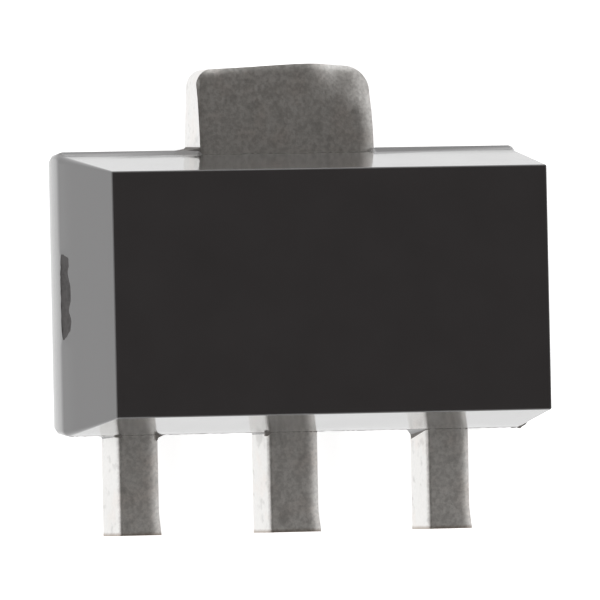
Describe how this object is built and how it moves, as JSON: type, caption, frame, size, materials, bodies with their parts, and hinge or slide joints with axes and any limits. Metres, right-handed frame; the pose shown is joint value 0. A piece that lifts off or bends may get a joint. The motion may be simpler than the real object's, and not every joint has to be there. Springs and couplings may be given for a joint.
{
  "type": "voltage regulator chip",
  "caption": "Surface-mount voltage regulator in a flat black moulded body with a wide cooling tab on one side and flat leads on the other.",
  "frame": {"origin": "on the seating plane, under the middle of the whole outline", "axes": "+Z out of the marked face, +Y from the leads towards the tab, lead 1 on the -X side"},
  "size_m": [0.0044, 0.0042, 0.0015],
  "materials": {
    "mould_compound": "fine satin, as moulded",
    "tinned_frame": "matte tin over copper alloy",
    "attach": "dull solder grey",
    "silicon": "polished grey silicon",
    "bond_wire": "bright gold"
  },
  "bodies": {
    "root": {"moulded_body": "mould_compound", "tab_and_lead_2": "tinned_frame", "lead_1": "tinned_frame", "lead_3": "tinned_frame", "die_attach": "attach", "regulator_die": "silicon", "lead_1_wire": "bond_wire", "lead_3_wire": "bond_wire", "ground_wire": "bond_wire"}
  },
  "joints": []
}
